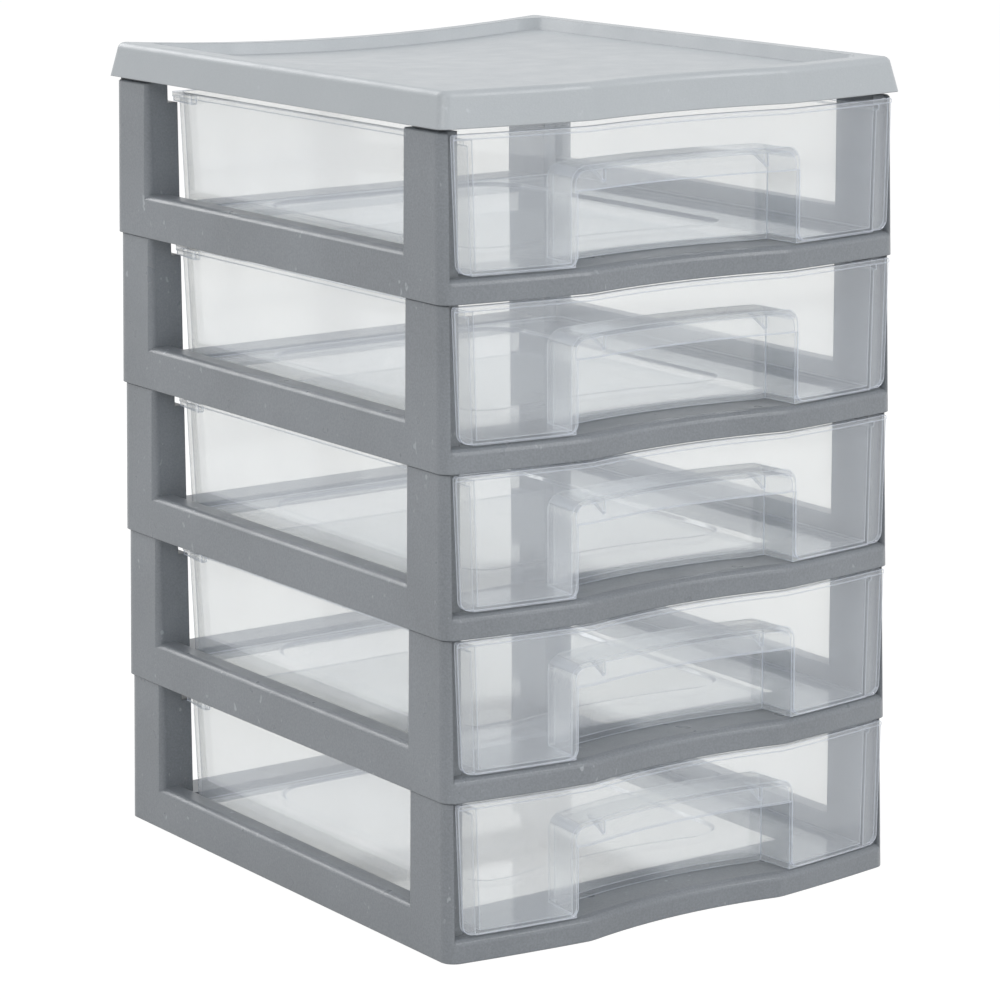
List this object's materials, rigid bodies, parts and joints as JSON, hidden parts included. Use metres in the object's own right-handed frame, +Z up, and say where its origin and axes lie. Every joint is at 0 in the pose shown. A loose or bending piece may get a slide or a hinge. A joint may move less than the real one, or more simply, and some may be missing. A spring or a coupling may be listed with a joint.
{
  "type": "drawer tower",
  "caption": "Desktop drawer tower for craft supplies and small parts: a tray lid on stacked open tier frames, with clear wavy-front drawers that pull out by finger pockets.",
  "frame": {"origin": "middle of the tower's footprint, on the surface it stands on", "axes": "+Z up; the drawers open towards -Y; +X to the right as seen by someone facing the drawers"},
  "size_m": [0.1782, 0.2079, 0.2703],
  "materials": {
    "lid": "light grey satin moulded plastic",
    "frame": "dark grey moulded plastic with a fine leathery grain",
    "drawer": "clear moulded plastic with a faint blue tint"
  },
  "bodies": {
    "tower": {"top_cover": "lid", "tier_frame_1": "frame", "tier_frame_2": "frame", "tier_frame_3": "frame", "tier_frame_4": "frame", "tier_frame_5": "frame"},
    "drawer_1": {"drawer_1": "drawer"},
    "drawer_2": {"drawer_2": "drawer"},
    "drawer_3": {"drawer_3": "drawer"},
    "drawer_4": {"drawer_4": "drawer"},
    "drawer_5": {"drawer_5": "drawer"}
  },
  "joints": [
    {"name": "drawer_1_slide", "type": "slide", "parent": "tower", "child": "drawer_1", "axis": [0, -1, 0], "range_m": [0, 0.1348]},
    {"name": "drawer_2_slide", "type": "slide", "parent": "tower", "child": "drawer_2", "axis": [0, -1, 0], "range_m": [0, 0.1348]},
    {"name": "drawer_3_slide", "type": "slide", "parent": "tower", "child": "drawer_3", "axis": [0, -1, 0], "range_m": [0, 0.1348]},
    {"name": "drawer_4_slide", "type": "slide", "parent": "tower", "child": "drawer_4", "axis": [0, -1, 0], "range_m": [0, 0.1348]},
    {"name": "drawer_5_slide", "type": "slide", "parent": "tower", "child": "drawer_5", "axis": [0, -1, 0], "range_m": [0, 0.1348]}
  ]
}
